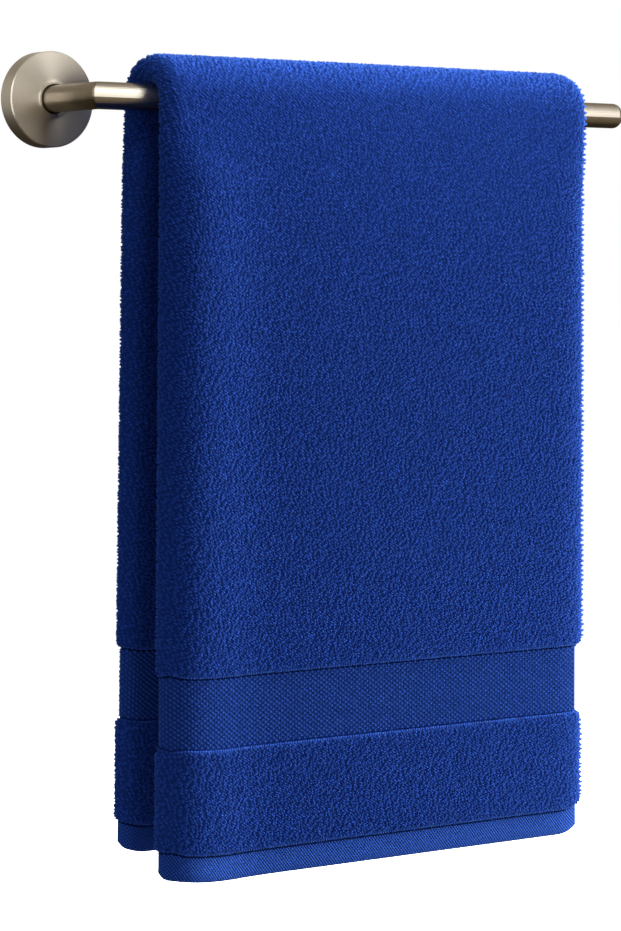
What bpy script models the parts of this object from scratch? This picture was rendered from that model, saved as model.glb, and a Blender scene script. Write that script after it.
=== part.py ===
"""Models a terry hand towel hung over an open-ended towel bar, with the bar, its post and its wall flange.

The towel is folded in half along its length, with the fold on the left, and hangs over the bar by its
middle. Units are metres. The origin is the centre of the flange's flat back, X runs along the bar,
+Y points into the wall and +Z is up.
"""

import math
from collections import namedtuple

import bmesh
import bpy

# Towel bar, post and flange
ROD_RADIUS = 0.00635
BAR_TO_WALL = 0.049
BAR_REACH = 0.317
BAR_TIP_ROUND = 0.0038
MITRE_ROUND = 0.0004
FLANGE_RADIUS = 0.0225
FLANGE_DEPTH = 0.010
FLANGE_EDGE_ROUND = 0.0014
LIP_RADIUS = 0.0083
LIP_HEIGHT = 0.0011
LIP_ROUND = 0.0008
SOCKET_CLEARANCE = 0.0006
SOCKET_FLOOR = 0.0025
SEAT_GAP = 0.0003
ROD_SIDES = 40
FLANGE_SIDES = 56
ROUND_STEPS = 4
SHARP_ANGLE = math.radians(30)

# Towel, as it lies flat
CLOTH_WIDTH = 0.508
CLOTH_LENGTH = 0.764
TERRY = 0.0064
HEM_THICKNESS = 0.0022
BORDER_THICKNESS = 0.0013
HEM_LENGTH = 0.013
BAND_LENGTH = 0.049
BORDER_LENGTH = 0.0345

# Towel, as it hangs
BAR_CLEARANCE = 0.0003
LAYER_STEP = 0.0075
BACK_RISE = 0.0115
LEFT_EDGE = 0.0257
RIGHT_EDGE = 0.2794
BACK_SHIFT = 0.0016
FLARE = {"front": 0.0056, "arch": 0.0, "back": 0.0060}
PANEL_SPREAD = 0.0018
FOLD_RADIUS = {"bar": 0.0037, "hanging": 0.0046}
FOLD_OPENING = {"bar": math.radians(5), "hanging": math.radians(22)}
RIDGE_RADIUS = 0.034
RIDGE_RUN = 0.045
EASE_DROP = 0.070
CURL_DEPTH = {"bar": 0.0009, "hanging": 0.0030}
CURL_WIDTH = {"bar": 0.009, "hanging": 0.020}
BORDER_DRAW_IN = 0.0052
BAND_DRAW_IN = 0.0012

# How finely the cloth is divided
ARCH_STEPS = 12
LEG_STEPS = 8
LEG_CROWDING = 1.4
BULB_STEPS = 8
RIDGE_STEPS = 3
FLANK_STEPS = 5
FLAT_STEPS = 4
INNER_STEPS = 5

# Ground weave of the two layers, measured out from the bar's axis
INNER_OUT = ROD_RADIUS + BAR_CLEARANCE + TERRY / 2
OUTER_OUT = INNER_OUT + LAYER_STEP
ARCH_LENGTH = math.pi * (INNER_OUT + OUTER_OUT) / 2
FRONT_DROP = (CLOTH_LENGTH - ARCH_LENGTH + BACK_RISE) / 2
BACK_DROP = FRONT_DROP - BACK_RISE

Step = namedtuple("Step", "inset share")
Row = namedtuple("Row", "leg reach from_end thickness draw_in")
Point = namedtuple("Point", "across out share")
Corner = namedtuple("Corner", "lift width height")

# Pile height at a terry edge: the distance in from the edge and the share of the full thickness there
SHOULDER = (Step(0.0, 0.42), Step(0.0006, 0.80), Step(0.0019, 1.0))
# Thickness near a selvedge, stated the same way
SELVEDGE = (Step(0.0, 0.34), Step(0.0012, 0.66), Step(0.0034, 0.87), Step(0.0075, 1.0), Step(0.0135, 1.0))
SELVEDGE_ZONE = 0.024
# The hem's thin edge, and how far the flat rows keep from the terry beside them
HEM_EDGE = Step(0.0006, 0.6)
FLAT_INSET = 0.0003
# How far the cloth's end rises towards its side edges, over what width and up to what height
FOLD_CORNER = {"front": Corner(0.0040, 0.042, 0.200), "back": Corner(0.0042, 0.014, 0.200)}
SELVEDGE_CORNER = Corner(0.0034, 0.012, 0.040)


def clear_scene():
    """Removes whatever the scene holds."""
    for obj in list(bpy.data.objects):
        bpy.data.objects.remove(obj, do_unlink=True)


def linear(channel):
    """One sRGB channel, 0 to 1, as a linear value."""
    return channel / 12.92 if channel <= 0.04045 else ((channel + 0.055) / 1.055) ** 2.4


def make_material(name, colour, roughness, metallic):
    """A Principled BSDF of an sRGB hex colour."""
    material = bpy.data.materials.new(name)
    material.use_nodes = True
    shader = material.node_tree.nodes["Principled BSDF"]
    rgb = [linear(int(colour[i : i + 2], 16) / 255) for i in (1, 3, 5)]
    shader.inputs["Base Color"].default_value = (*rgb, 1.0)
    shader.inputs["Roughness"].default_value = roughness
    shader.inputs["Metallic"].default_value = metallic
    return material


def add_object(name, mesh, collection, material):
    """Puts a mesh in the collection with its material, shaded smooth."""
    obj = bpy.data.objects.new(name, mesh)
    collection.objects.link(obj)
    mesh.materials.append(material)
    mesh.shade_smooth()
    return obj


def smooth(value):
    """Eases a value from 0 to 1, level at both ends."""
    value = min(max(value, 0.0), 1.0)
    return value * value * (3 - 2 * value)


def mix(ends, ease):
    """A value between the one at the bar and the one on the hanging cloth."""
    return ends["bar"] + (ends["hanging"] - ends["bar"]) * ease


# Towel


def border_rows(leg, drop):
    """Rows from the cloth's end to the main terry: hem, terry band, flat border and first terry."""
    band = HEM_LENGTH
    border = band + BAND_LENGTH
    main = border + BORDER_LENGTH

    def row(from_end, thickness, draw_in):
        return Row(leg, drop - from_end, from_end, thickness, draw_in)

    rows = [row(0.0, HEM_EDGE.share * HEM_THICKNESS, BORDER_DRAW_IN)]
    rows.append(row(HEM_EDGE.inset, HEM_THICKNESS, BORDER_DRAW_IN))
    rows.append(row(band - FLAT_INSET, HEM_THICKNESS, BORDER_DRAW_IN))
    rows += [row(band + step.inset, step.share * TERRY, BAND_DRAW_IN) for step in SHOULDER]
    rows.append(row((band + border) / 2, TERRY, BAND_DRAW_IN))
    rows += [row(border - step.inset, step.share * TERRY, BAND_DRAW_IN) for step in reversed(SHOULDER)]
    rows.append(row(border + FLAT_INSET, BORDER_THICKNESS, BORDER_DRAW_IN))
    rows.append(row(main - FLAT_INSET, BORDER_THICKNESS, BORDER_DRAW_IN))
    rows += [row(main + step.inset, step.share * TERRY, 0.0) for step in SHOULDER]
    return rows


def leg_rows(leg, drop):
    """Rows of one hanging panel, from its hem up to the bar."""
    rows = border_rows(leg, drop)
    top = rows[-1].reach
    for step in range(LEG_STEPS - 1, 0, -1):
        reach = top * (step / LEG_STEPS) ** LEG_CROWDING
        rows.append(Row(leg, reach, drop - reach, TERRY, 0.0))
    return rows


def cloth_rows():
    """All rows, from the front hem over the bar to the back hem."""
    arch = []
    for step in range(ARCH_STEPS + 1):
        arch.append(Row("arch", math.pi * step / ARCH_STEPS, FRONT_DROP, TERRY, 0.0))
    return leg_rows("front", FRONT_DROP) + arch + leg_rows("back", BACK_DROP)[::-1]


def curl(ease, across):
    """How far the right-hand edge of both layers turns in at a place across the cloth."""
    near = max(0.0, 1 - (RIGHT_EDGE - across) / mix(CURL_WIDTH, ease))
    return mix(CURL_DEPTH, ease) * near * near


def curl_inner(ease, across):
    """The same for the inner layer, which stays on the bar until the cloth hangs free of it."""
    return ease * curl(ease, across)


def left_edge(row):
    """Where the fold's outermost surface lies across the cloth, on one row."""
    if row.leg == "arch":
        return LEFT_EDGE - BACK_SHIFT * smooth(row.reach / math.pi)
    start = LEFT_EDGE - (BACK_SHIFT if row.leg == "back" else 0.0)
    return start - FLARE[row.leg] * row.reach / FRONT_DROP


def section(row):
    """One cut across the folded cloth, from the outer selvedge round the fold to the inner selvedge."""
    ease = 0.0 if row.leg == "arch" else smooth(row.reach / EASE_DROP)
    right = RIGHT_EDGE - row.draw_in

    # The fold is a tight round that opens through a wide arc into the ridge
    radius = mix(FOLD_RADIUS, ease)
    opening = mix(FOLD_OPENING, ease)
    centre_across = left_edge(row) + TERRY / 2 + radius
    centre_out = INNER_OUT + radius
    ridge_across = centre_across - radius * math.sin(opening) + RIDGE_RADIUS * math.sin(opening)
    ridge_out = centre_out + radius * math.cos(opening) + RIDGE_RADIUS * (1 - math.cos(opening))
    flat_across = ridge_across + RIDGE_RUN

    # Outer layer: selvedge, flat, the ridge's flank and the ridge's arc
    points = []
    for step in SELVEDGE:
        across = right - step.inset
        points.append(Point(across, OUTER_OUT - curl(ease, across), step.share))
    flat_start = right - SELVEDGE_ZONE
    for step in range(FLAT_STEPS):
        across = flat_start + (flat_across - flat_start) * step / FLAT_STEPS
        points.append(Point(across, OUTER_OUT, 1.0))
    for step in range(FLANK_STEPS):
        share = step / FLANK_STEPS
        rise = (1 - math.cos(math.pi * share)) / 2
        across = flat_across - RIDGE_RUN * share
        points.append(Point(across, OUTER_OUT + (ridge_out - OUTER_OUT) * rise, 1.0))
    for step in range(RIDGE_STEPS):
        tilt = opening * step / RIDGE_STEPS
        across = ridge_across - RIDGE_RADIUS * math.sin(tilt)
        points.append(Point(across, ridge_out - RIDGE_RADIUS * (1 - math.cos(tilt)), 1.0))

    # Round of the fold, down to the inner layer
    for step in range(BULB_STEPS + 1):
        turn = opening + (math.pi - opening) * step / BULB_STEPS
        across = centre_across - radius * math.sin(turn)
        points.append(Point(across, centre_out + radius * math.cos(turn), 1.0))

    # Inner layer: what is left of the cloth's width, which the borders draw in at both selvedges
    used = sum(math.dist(a[:2], b[:2]) for a, b in zip(points, points[1:]))
    inner_edge = centre_across + CLOTH_WIDTH - 2 * row.draw_in - used
    inner_end = inner_edge - SELVEDGE[-1].inset
    for step in range(1, INNER_STEPS):
        across = centre_across + (inner_end - centre_across) * step / INNER_STEPS
        points.append(Point(across, INNER_OUT - curl_inner(ease, across), 1.0))
    for step in reversed(SELVEDGE):
        across = inner_edge - step.inset
        points.append(Point(across, INNER_OUT - curl_inner(ease, across), step.share))
    return points


def corner_lift(corner, from_edge, from_end):
    """How far the cloth's end rises near one of its side edges."""
    near_edge = max(0.0, 1 - from_edge / corner.width)
    near_end = max(0.0, 1 - from_end / corner.height)
    return corner.lift * near_edge**2 * near_end


def place(row, point):
    """World position of one point of the ground weave."""
    if row.leg == "arch":
        y = -BAR_TO_WALL - point.out * math.cos(row.reach)
        return (point.across, y, point.out * math.sin(row.reach))
    side = -1 if row.leg == "front" else 1
    out = point.out + PANEL_SPREAD * row.reach / FRONT_DROP
    from_fold = point.across - left_edge(row)
    from_selvedge = RIGHT_EDGE - row.draw_in - point.across
    lift = corner_lift(FOLD_CORNER[row.leg], from_fold, row.from_end)
    lift += corner_lift(SELVEDGE_CORNER, from_selvedge, row.from_end)
    return (point.across, -BAR_TO_WALL + side * out, lift - row.reach)


def build_towel(collection, material):
    """The folded cloth: an open ground weave that Solidify thickens by zone."""
    bm = bmesh.new()
    weight = bm.verts.layers.deform.verify()
    grid = []
    for row in cloth_rows():
        line = []
        for point in section(row):
            vert = bm.verts.new(place(row, point))
            vert[weight][0] = min(row.thickness, point.share * TERRY) / TERRY
            line.append(vert)
        grid.append(line)
    for lower, upper in zip(grid, grid[1:]):
        for i in range(len(lower) - 1):
            bm.faces.new((lower[i], lower[i + 1], upper[i + 1], upper[i]))
    mesh = bpy.data.meshes.new("towel")
    bm.to_mesh(mesh)
    bm.free()
    towel = add_object("towel", mesh, collection, material)
    towel.vertex_groups.new(name="thickness")
    solid = towel.modifiers.new("Thickness", "SOLIDIFY")
    solid.thickness = TERRY
    solid.offset = 0.0
    solid.vertex_group = "thickness"
    solid.use_quality_normals = True
    return towel


# Towel bar


def rounded(corner, radius):
    """Points of the quarter arc that rounds an upper outer corner of a turned profile, from the top down."""
    points = []
    for step in range(ROUND_STEPS + 1):
        turn = math.pi / 2 * (1 - step / ROUND_STEPS)
        across = corner[0] - radius + radius * math.cos(turn)
        points.append((across, corner[1] - radius + radius * math.sin(turn)))
    return points


def build_flange(collection, material):
    """A turned plate with a rounded front edge, and a blind socket with a raised lip for the post."""
    socket = ROD_RADIUS + SOCKET_CLEARANCE
    lip_top = FLANGE_DEPTH + LIP_HEIGHT
    profile = [(0.0, SOCKET_FLOOR), (socket, SOCKET_FLOOR), (socket, lip_top)]
    profile += rounded((LIP_RADIUS, lip_top), LIP_ROUND)
    profile += [(LIP_RADIUS, FLANGE_DEPTH)]
    profile += rounded((FLANGE_RADIUS, FLANGE_DEPTH), FLANGE_EDGE_ROUND)
    profile += [(FLANGE_RADIUS, 0.0), (0.0, 0.0)]
    mesh = bpy.data.meshes.new("wall_flange")
    edges = [(i, i + 1) for i in range(len(profile) - 1)]
    mesh.from_pydata([(r, 0.0, h) for r, h in profile], edges, [])
    flange = add_object("wall_flange", mesh, collection, material)
    flange.rotation_euler = (math.pi / 2, 0.0, 0.0)
    turn = flange.modifiers.new("Turn", "SCREW")
    turn.axis = "Z"
    turn.steps = FLANGE_SIDES
    turn.render_steps = FLANGE_SIDES
    turn.use_merge_vertices = True
    turn.merge_threshold = 0.00001
    turn.use_smooth_shade = True
    return flange


def build_rod(name, collection, material, lean, end, tip_round):
    """A round rod along its local Z, mitred at its start towards a local direction, rounded at its end."""
    bm = bmesh.new()
    bevel = bm.edges.layers.float.new("bevel_weight_edge")
    start = -2 * ROD_RADIUS
    length = end - start
    bmesh.ops.create_cone(
        bm, cap_ends=True, segments=ROD_SIDES, radius1=ROD_RADIUS, radius2=ROD_RADIUS, depth=length
    )
    bmesh.ops.translate(bm, verts=bm.verts, vec=(0.0, 0.0, (start + end) / 2))
    everything = bm.verts[:] + bm.edges[:] + bm.faces[:]
    half_gap = SEAT_GAP / 2 * math.sqrt(2)
    cut = bmesh.ops.bisect_plane(
        bm, geom=everything, plane_co=(0.0, 0.0, half_gap), plane_no=(*lean, -1.0), clear_outer=True
    )
    rim = [item for item in cut["geom_cut"] if isinstance(item, bmesh.types.BMEdge)]
    bmesh.ops.edgeloop_fill(bm, edges=rim)
    for edge in rim:
        edge[bevel] = MITRE_ROUND / BAR_TIP_ROUND
    for edge in bm.edges:
        if all(abs(vert.co.z - end) < SEAT_GAP for vert in edge.verts):
            edge[bevel] = tip_round / BAR_TIP_ROUND
    bmesh.ops.recalc_face_normals(bm, faces=bm.faces)
    mesh = bpy.data.meshes.new(name)
    bm.to_mesh(mesh)
    bm.free()
    rod = add_object(name, mesh, collection, material)
    mesh.set_sharp_from_angle(angle=SHARP_ANGLE)
    rounding = rod.modifiers.new("Rounding", "BEVEL")
    rounding.limit_method = "WEIGHT"
    rounding.width = BAR_TIP_ROUND
    rounding.segments = ROUND_STEPS
    return rod


def build_bar(collection, metal):
    """The bar, mitred at the post and rounded at its free end."""
    bar = build_rod("bar", collection, metal, (0.0, 1.0), BAR_REACH, BAR_TIP_ROUND)
    bar.location = (0.0, -BAR_TO_WALL, 0.0)
    bar.rotation_euler = (0.0, math.pi / 2, 0.0)
    return bar


def build_post(collection, metal):
    """The post, mitred at the bar and seated in the flange's socket."""
    length = BAR_TO_WALL - SOCKET_FLOOR - SEAT_GAP
    post = build_rod("post", collection, metal, (1.0, 0.0), length, MITRE_ROUND)
    post.location = (0.0, -BAR_TO_WALL, 0.0)
    post.rotation_euler = (-math.pi / 2, 0.0, 0.0)
    return post


def main():
    """Builds the towel and its bar."""
    clear_scene()
    collection = bpy.data.collections.new("hand_towel_on_bar")
    bpy.context.scene.collection.children.link(collection)
    terry = make_material("blue cotton terry", "#1C48A8", 0.95, 0.0)
    nickel = make_material("satin nickel", "#B7AB9B", 0.32, 1.0)
    build_towel(collection, terry)
    build_flange(collection, nickel)
    build_post(collection, nickel)
    build_bar(collection, nickel)


main()
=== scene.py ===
"""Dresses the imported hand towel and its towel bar, and sets them in a studio.

The towel becomes one woven sheet with its terry loops, flat patterned borders and hems, and the bar, post
and flange get their satin nickel. Everything is in metres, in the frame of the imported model: the origin is
the centre of the flange's flat back, X runs along the bar, +Y points into the wall and +Z is up.
"""

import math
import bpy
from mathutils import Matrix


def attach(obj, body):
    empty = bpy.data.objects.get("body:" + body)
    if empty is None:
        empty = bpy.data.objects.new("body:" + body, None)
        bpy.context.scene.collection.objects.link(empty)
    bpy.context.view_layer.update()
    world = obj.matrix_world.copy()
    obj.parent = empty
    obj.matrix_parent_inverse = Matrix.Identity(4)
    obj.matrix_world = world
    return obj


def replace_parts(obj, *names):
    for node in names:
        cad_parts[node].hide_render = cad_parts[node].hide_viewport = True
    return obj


bl_info = {
    "name": "Hand Towel on a Towel Bar",
    "version": (1, 0, 0),
    "blender": (4, 5, 0),
    "location": "3D View > Sidebar > Towel",
    "description": "Builds a folded terry hand towel over its bar, loop by loop",
    "category": "Add Mesh",
}

from collections import namedtuple

import bmesh
import bpy
import numpy as np
from bpy.props import FloatProperty, FloatVectorProperty, IntProperty, PointerProperty
from mathutils import Vector

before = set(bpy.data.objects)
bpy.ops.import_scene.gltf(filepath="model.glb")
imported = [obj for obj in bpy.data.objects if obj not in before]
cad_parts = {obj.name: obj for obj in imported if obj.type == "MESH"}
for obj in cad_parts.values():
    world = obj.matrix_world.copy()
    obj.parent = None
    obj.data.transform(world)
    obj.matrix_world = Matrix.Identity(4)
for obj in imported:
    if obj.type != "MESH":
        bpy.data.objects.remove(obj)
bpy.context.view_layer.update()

# Towel bar and flange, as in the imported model
ROD_RADIUS = 0.00635
BAR_TO_WALL = 0.049
FLANGE_RADIUS = 0.0225
LIP_RADIUS = 0.0083
SOCKET_RADIUS = 0.00695
SOCKET_FLOOR = 0.0025

# Depths of the finer flange: its crowned face at the lip and at the rim, and the top of its lip
FACE_AT_LIP = 0.0104
FACE_AT_RIM = 0.0094
LIP_TOP = 0.0112
RIM_CHAMFER = 0.0005
FLANGE_SIDES = 144

# Towel, as it lies flat
CLOTH_WIDTH = 0.508
CLOTH_LENGTH = 0.764
TERRY = 0.0064
HEM_THICKNESS = 0.0022
BORDER_THICKNESS = 0.0013
HEM_LENGTH = 0.013
BAND_LENGTH = 0.049
BORDER_LENGTH = 0.0345
BAND_END = HEM_LENGTH + BAND_LENGTH
BORDER_END = BAND_END + BORDER_LENGTH

# Towel, as it hangs: below the bar its fold opens, with a broad ridge beside it that runs out to the right
BAR_CLEARANCE = 0.0003
LAYER_STEP = 0.0075
BACK_RISE = 0.0115
LEFT_EDGE = 0.0257
RIGHT_EDGE = 0.2794
BACK_SHIFT = 0.0016
FLARE = {"front": 0.0056, "arch": 0.0, "back": 0.0060}
PANEL_SPREAD = 0.0018
FOLD_RADIUS = {"bar": 0.0037, "hanging": 0.0046}
FOLD_OPENING = {"bar": math.radians(5), "hanging": math.radians(30)}
RIDGE_RADIUS = 0.0245
RIDGE_RUN = 0.054
RIDGE_TAIL = 1.5
EASE_DROP = 0.046
CURL_DEPTH = {"bar": 0.0009, "hanging": 0.0030}
CURL_WIDTH = {"bar": 0.009, "hanging": 0.020}
BORDER_DRAW_IN = 0.0052
BAND_DRAW_IN = 0.0012
DRAW_IN_STEP = 0.001

INNER_OUT = ROD_RADIUS + BAR_CLEARANCE + TERRY / 2
OUTER_OUT = INNER_OUT + LAYER_STEP
ARCH_LENGTH = math.pi * (INNER_OUT + OUTER_OUT) / 2
FRONT_DROP = (CLOTH_LENGTH - ARCH_LENGTH + BACK_RISE) / 2

Corner = namedtuple("Corner", "lift width height")
DrawBack = namedtuple("DrawBack", "depth width")
Zone = namedtuple("Zone", "start end")
SoftBox = namedtuple("SoftBox", "name towards right up distance size in_metal")

# Pile height at a terry edge, and the cloth's thickness near a selvedge: distances in and shares of TERRY
SHOULDER_INSET = (0.0, 0.0002, 0.0006, 0.0012, 0.0020)
SHOULDER_SHARE = (0.42, 0.66, 0.83, 0.95, 1.0)
SELVEDGE_INSET = (0.0, 0.0012, 0.0034, 0.0075)
SELVEDGE_SHARE = (0.34, 0.66, 0.87, 1.0)
HEM_EDGE = 0.0006
HEM_EDGE_SHARE = 0.6

# How the cloth's lower corners rise at the fold and at the selvedges
FOLD_CORNER = {"front": Corner(0.0040, 0.042, 0.200), "back": Corner(0.0042, 0.014, 0.200)}
SELVEDGE_CORNER = Corner(0.0034, 0.012, 0.040)

# Extra rounding where the hem goes round the fold, which faces this far left of straight in front
HEM_ROUND = Corner(0.0024, 0.0034, 0.018)
FOLD_FACING = math.radians(36)

# How far each terry edge draws back where it goes round the fold and where it meets a selvedge
FOLD_DRAW_BACK = DrawBack(0.0012, 0.008)
SELVEDGE_DRAW_BACK = DrawBack(0.0030, 0.0065)

# Spacing of the surface table that everything on the cloth is placed by, and of the slopes measured on it
TABLE_ACROSS = 0.001
TABLE_ALONG = 0.0005
SLOPE_STEP = 0.0004

# How far the painted shade on the ground reaches at a terry edge, out on the flat weave and in under the
# loops
PAINTED_SHADE_OUTSIDE = 0.0014
PAINTED_SHADE_INSIDE = 0.0008

# Rows of the woven sheet: how far the close ones go past a terry edge, where the wide ones start, and how
# far below the bar those round it start
CLOSE_ROWS = 0.0045
WIDE_ROWS = 0.009
ARCH_MARGIN = 0.006

# How deep the sheet lies under the tops of its loops, as a share of the pile, and its least half thickness
SHEET_SINK = 0.8
LEAST_HALF = 0.00045

# Directions stored on each place for a tuft: out of the cloth and along it
DIRECTIONS = ("stand", "lean")

# Loops: how far inside a terry edge they start, how far they stray as shares of their pitch, how their
# sizes vary, and where along the cloth they are parted into pieces
LOOP_INSET = 0.0012
LOOP_STRAY = (0.42, 0.20)
LOOP_SPREAD = 0.16
LOW_PART = 0.190
BAR_PART = 0.030

# Loops in a row on a terry edge and on a selvedge: shares of the edge pitch, loop width and pile, and inset
EDGE_LOOP = (1.6, 1.0, 1.0)
EDGE_INSET = 0.0005
SELVEDGE_LOOP = (1.45, 1.5, 1.8)
SELVEDGE_PITCH = 1.7
SELVEDGE_STRAY = 0.09
SELVEDGE_ROW_INSET = 0.0001

# Border floats: length and width as shares of their pitch, height, slope, and distance from a terry edge
FLOAT_SHARE = (0.62, 1.06)
FLOAT_HEIGHT = 0.00088
FLOAT_SLOPE = math.radians(40)
FLOAT_CLEAR = 0.0013

# How far in from the fold and from a selvedge the hidden sides still carry loops
FOLD_REACH = 0.028
SELVEDGE_REACH = 0.015
HIDDEN_REACH = 0.006

# The room as the metal mirrors it, from low behind the wall round to high above: place and colour
ROOM_TONES = ((0.08, "#3A3124"), (0.24, "#766A57"), (0.55, "#9A8C77"), (0.72, "#A4988A"), (0.95, "#FFFBF4"))

# Where the camera stands, and the soft boxes: what each points at, from which angles in degrees and how far,
# its size, and whether it lights the metal alone or all but the metal
CAMERA_PLACE = (-0.7732, -1.2792, -0.0844)
MIDDLE = (0.15, -0.05, -0.20)
SOFT_BOXES = (
    SoftBox("key", MIDDLE, 79, 24, 3.0, (1.2, 1.2), False),
    SoftBox("side", MIDDLE, 92, 16, 2.0, (0.7, 1.0), False),
    SoftBox("low", (0.15, -0.07, -0.36), 62, -8, 0.7, (0.3, 0.2), False),
    SoftBox("left", (0.03, -0.06, -0.36), -60, -10, 0.35, (0.3, 0.2), False),
    SoftBox("back", MIDDLE, 150, 12, 3.0, (1.5, 1.5), False),
    SoftBox("strip", (0.15, -0.06, 0.0), 0, 52, 0.13, (0.34, 0.03), False),
    SoftBox("panel", (0.15, -0.05, 0.0), 36, 26, 3.0, (1.0, 4.9), True),
    SoftBox("edge", (0.0, -0.01, 0.0), -59, 6, 2.0, (0.6, 2.4), True),
)

# Tint of the sheen that fine fuzz gives the cotton, distance between the border's weft threads, and the
# distance between a wave texture's lines at scale 1
SHEEN_TINT = (0.25, 0.50, 1.0, 1.0)
WEFT_PITCH = 0.0007
WAVE_PERIOD = 0.314


def linear(colour):
    """An sRGB hex colour as linear red, green and blue."""
    channels = [int(colour[i : i + 2], 16) / 255 for i in (1, 3, 5)]
    return tuple(c / 12.92 if c <= 0.04045 else ((c + 0.055) / 1.055) ** 2.4 for c in channels)


def toned(colour, share=1.0):
    """A linear colour made darker or lighter by a share, with its alpha."""
    return (*(c * share for c in colour), 1.0)


class TowelSettings(bpy.types.PropertyGroup):
    """Sizes and colours of the towel. Its loops are drawn coarser than real ones, so that they show."""

    loop_length: FloatProperty(
        name="Loop Length", description="Length of one terry loop, lying", default=0.0024, unit="LENGTH"
    )
    loop_width: FloatProperty(
        name="Loop Width", description="Width of one terry loop", default=0.00124, unit="LENGTH"
    )
    pile: FloatProperty(
        name="Pile", description="Height of the loops over the ground weave", default=0.00100, unit="LENGTH"
    )
    loop_pitch: FloatVectorProperty(
        name="Loop Pitch",
        description="Distance from loop to loop, along a loop and beside it",
        size=2,
        default=(0.00220, 0.00119),
        unit="LENGTH",
    )
    lean: FloatProperty(
        name="Lean",
        description="Slope of the loops across the cloth",
        default=math.radians(30),
        subtype="ANGLE",
    )
    lean_spread: FloatProperty(
        name="Lean Spread",
        description="How much the loops' slope varies",
        default=math.radians(18),
        subtype="ANGLE",
    )
    bump_pitch: FloatVectorProperty(
        name="Border Pitch",
        description="Distance between the border's woven bumps, across the cloth and along it",
        size=2,
        default=(0.00335, 0.00116),
        unit="LENGTH",
    )
    twill_pitch: FloatProperty(
        name="Twill Pitch", description="From one twill line to the next", default=0.00125, unit="LENGTH"
    )
    crown_colour: FloatVectorProperty(
        name="Crown Colour",
        description="Dyed cotton at the top of the loops",
        default=linear("#2B4FAD"),
        subtype="COLOR",
    )
    # Painted shade: the loops darken to this colour at their roots, and the ground between them takes it
    root_colour: FloatVectorProperty(
        name="Shaded Root Colour",
        description="Dyed cotton between the loops",
        default=linear("#1D3A84"),
        subtype="COLOR",
    )
    border_colour: FloatVectorProperty(
        name="Border Colour",
        description="Smoother cotton of the borders and hems",
        default=linear("#3056B4"),
        subtype="COLOR",
    )
    edge_pitch: FloatProperty(
        name="Edge Pitch", description="Loop to loop along a terry edge", default=0.0015, unit="LENGTH"
    )
    seed: IntProperty(name="Seed", description="Seed of the loops' random slope and size", default=7)


class BarSettings(bpy.types.PropertyGroup):
    """Finish of the bar, post and flange."""

    nickel: FloatVectorProperty(
        name="Nickel", description="Colour of the satin nickel", default=linear("#B2AB9F"), subtype="COLOR"
    )
    rod_roughness: FloatProperty(
        name="Rod Roughness", description="How dull the bar and post are", default=0.22, subtype="FACTOR"
    )
    face_roughness: FloatProperty(
        name="Flange Roughness", description="How dull the turned flange is", default=0.46, subtype="FACTOR"
    )


class StudioSettings(bpy.types.PropertyGroup):
    """Camera and lights."""

    lens: FloatProperty(name="Lens", description="Focal length in millimetres", default=121.65)
    yaw: FloatProperty(
        name="Yaw",
        description="How far the camera looks to the right",
        default=math.radians(36),
        subtype="ANGLE",
    )
    tilt: FloatProperty(
        name="Tilt", description="How far the camera looks down", default=math.radians(3.38), subtype="ANGLE"
    )
    key_power: FloatProperty(
        name="Key Power", description="Main soft box, from the upper right", default=190.0, subtype="POWER"
    )
    side_power: FloatProperty(
        name="Side Power", description="Light on the towel's right edge", default=35.0, subtype="POWER"
    )
    low_power: FloatProperty(
        name="Low Power", description="Fill light low on the right", default=5.0, subtype="POWER"
    )
    left_power: FloatProperty(
        name="Left Power", description="Weak fill light low on the left", default=0.17, subtype="POWER"
    )
    back_power: FloatProperty(
        name="Back Power", description="Fill light behind the towel", default=45.0, subtype="POWER"
    )
    strip_power: FloatProperty(
        name="Strip Power", description="Strip over the bar", default=0.32, subtype="POWER"
    )
    panel_power: FloatProperty(
        name="Panel Power", description="Panel that the metal mirrors", default=53.0, subtype="POWER"
    )
    edge_power: FloatProperty(
        name="Edge Power", description="Light in the flange's left edge", default=50.0, subtype="POWER"
    )


# Shared helpers


def add_node(tree, kind, values=None, links=None, **settings):
    """Adds a node with its settings, its input values and the links that come into it."""
    node = tree.nodes.new(kind)
    for name, value in settings.items():
        setattr(node, name, value)
    for name, value in (values or {}).items():
        node.inputs[name].default_value = value
    for name, source in (links or {}).items():
        tree.links.new(source, node.inputs[name])
    return node


def add_object(name, data):
    """Puts a mesh, a light or a camera in the scene."""
    added = bpy.data.objects.new(name, data)
    bpy.context.scene.collection.objects.link(added)
    return added


def add_piece(name, mesh):
    """Puts a finished mesh in the scene, riding on the fixed body."""
    piece = add_object(name, mesh)
    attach(piece, "root")
    return piece


def smooth(value):
    """Eases a value from 0 to 1, level at both ends."""
    value = np.clip(value, 0.0, 1.0)
    return value * value * (3 - 2 * value)


def mix(ends, ease):
    """A value between the one at the bar and the one on the hanging cloth."""
    return ends["bar"] + (ends["hanging"] - ends["bar"]) * ease


# Shape of the cloth


def leg_at(along):
    """Part of the cloth at a distance along it, and how far that is below the bar or round it."""
    if along < FRONT_DROP:
        return "front", FRONT_DROP - along
    if along <= FRONT_DROP + ARCH_LENGTH:
        return "arch", math.pi * (along - FRONT_DROP) / ARCH_LENGTH
    return "back", along - FRONT_DROP - ARCH_LENGTH


def draw_in(from_end):
    """How far the flat weaves pull the selvedges in, at a distance from the cloth's end."""
    steps = (HEM_LENGTH, BAND_END, BORDER_END)
    places = [step + way * DRAW_IN_STEP for step in steps for way in (-1, 1)]
    amounts = (BORDER_DRAW_IN, BAND_DRAW_IN, BAND_DRAW_IN, BORDER_DRAW_IN, BORDER_DRAW_IN, 0.0)
    return float(np.interp(from_end, places, amounts))


def curl(ease, across):
    """How far the right-hand edge turns in at a place across the cloth."""
    near = np.maximum(0.0, 1 - (RIGHT_EDGE - across) / mix(CURL_WIDTH, ease))
    return mix(CURL_DEPTH, ease) * near * near


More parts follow.
